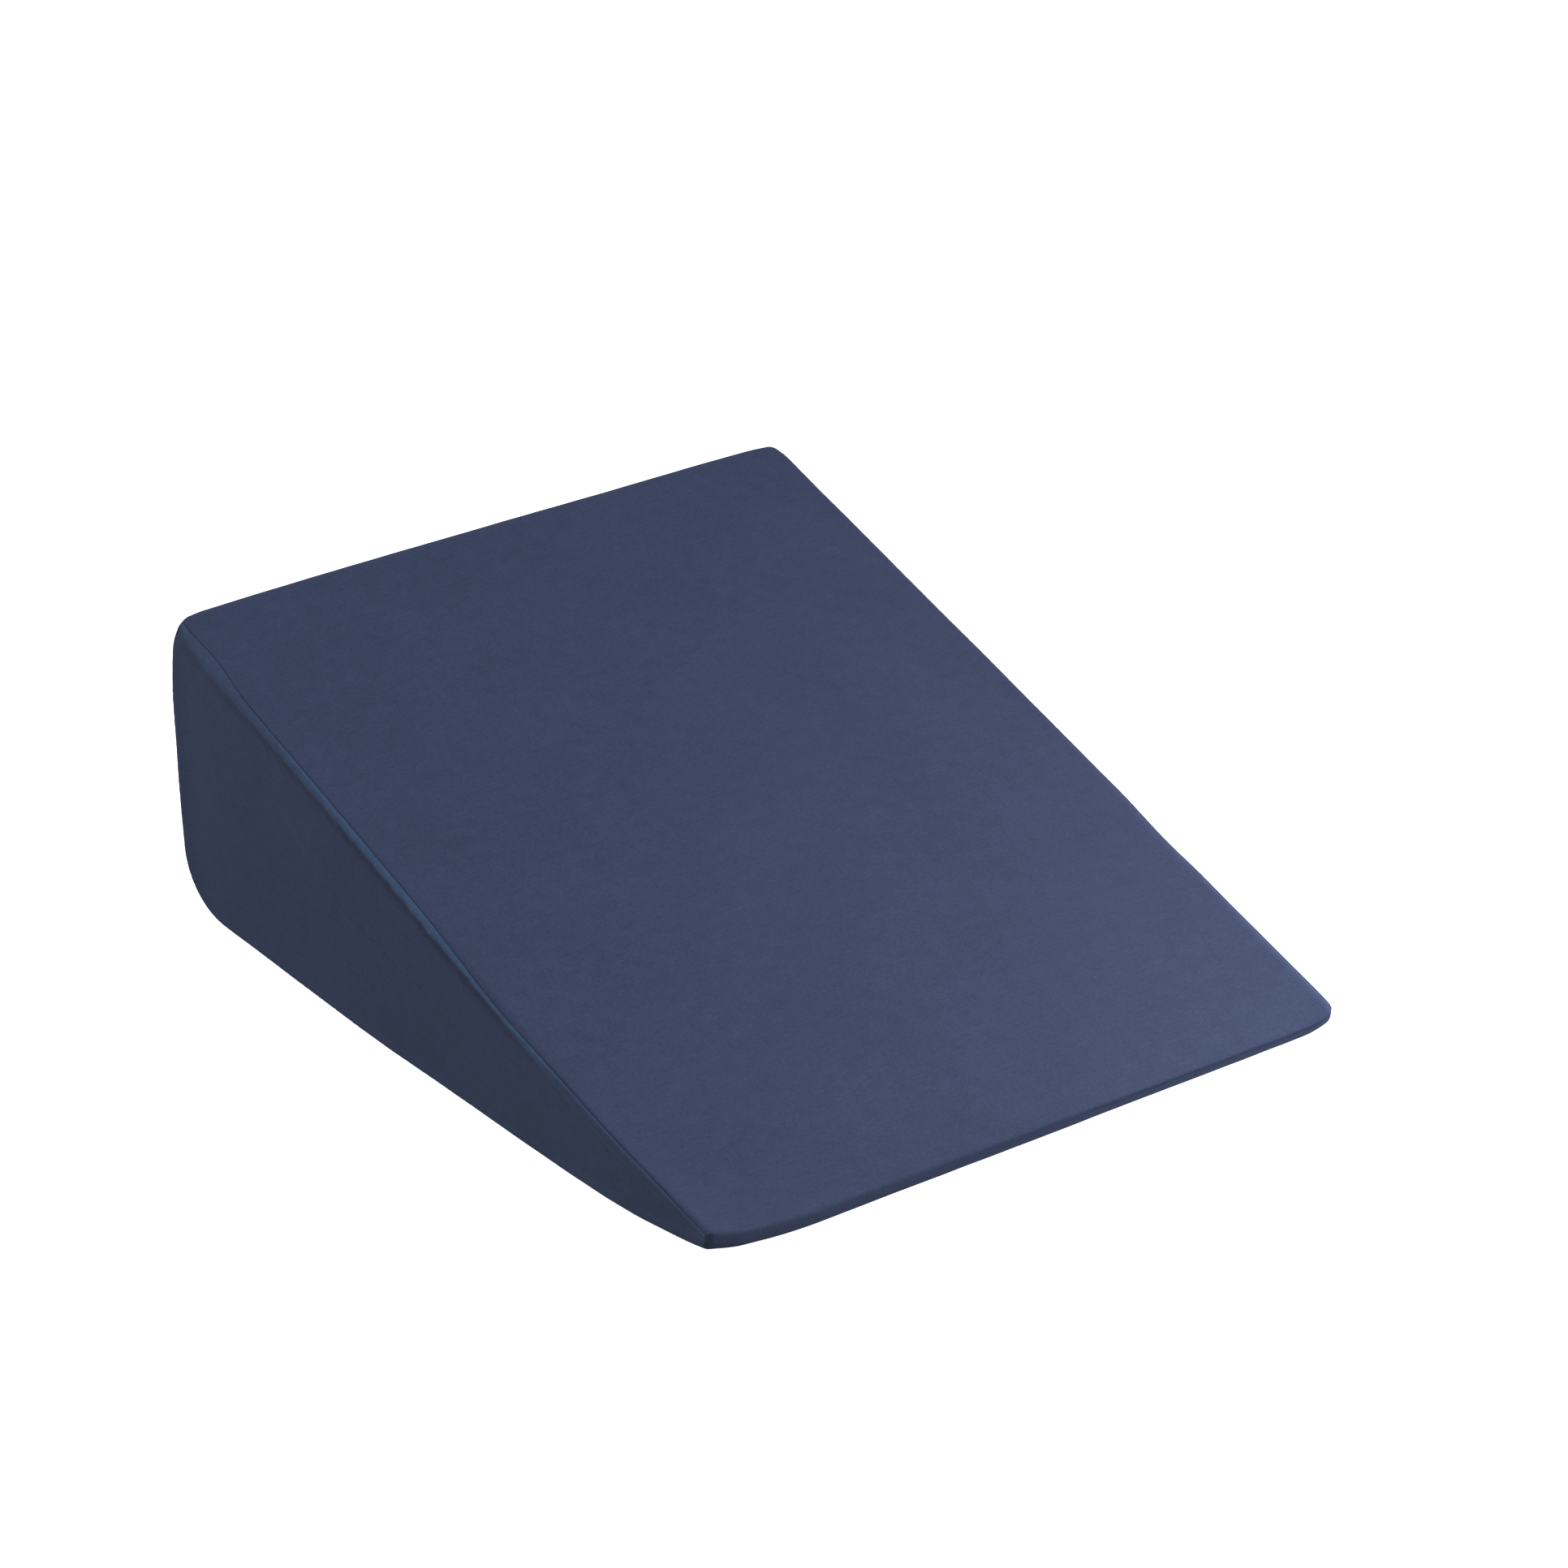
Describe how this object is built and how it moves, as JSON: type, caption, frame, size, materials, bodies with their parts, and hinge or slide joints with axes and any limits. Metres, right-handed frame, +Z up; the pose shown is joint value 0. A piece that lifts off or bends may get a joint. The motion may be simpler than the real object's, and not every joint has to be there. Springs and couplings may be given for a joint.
{
  "type": "foam wedge pillow in a sewn cloth cover",
  "caption": "Bed wedge pillow: a foam wedge in a taut navy cloth cover with sewn-in side panels, a thin rounded nose and a high straight back.",
  "frame": {"origin": "on the surface the pillow rests on, under the middle of its length and width", "axes": "+X across the width, to the right of someone facing the high back edge; +Y from the thin nose to the high back; +Z up"},
  "size_m": [0.61, 0.7435, 0.2631],
  "materials": {
    "band_cloth": "matt brushed cloth, navy, with a faint sheen at low angles",
    "side_cloth": "matt brushed cloth, navy, the nap lying across"
  },
  "bodies": {
    "root": {"wedge_body": "band_cloth", "side_panel_left": "side_cloth", "side_panel_right": "side_cloth"}
  },
  "joints": []
}
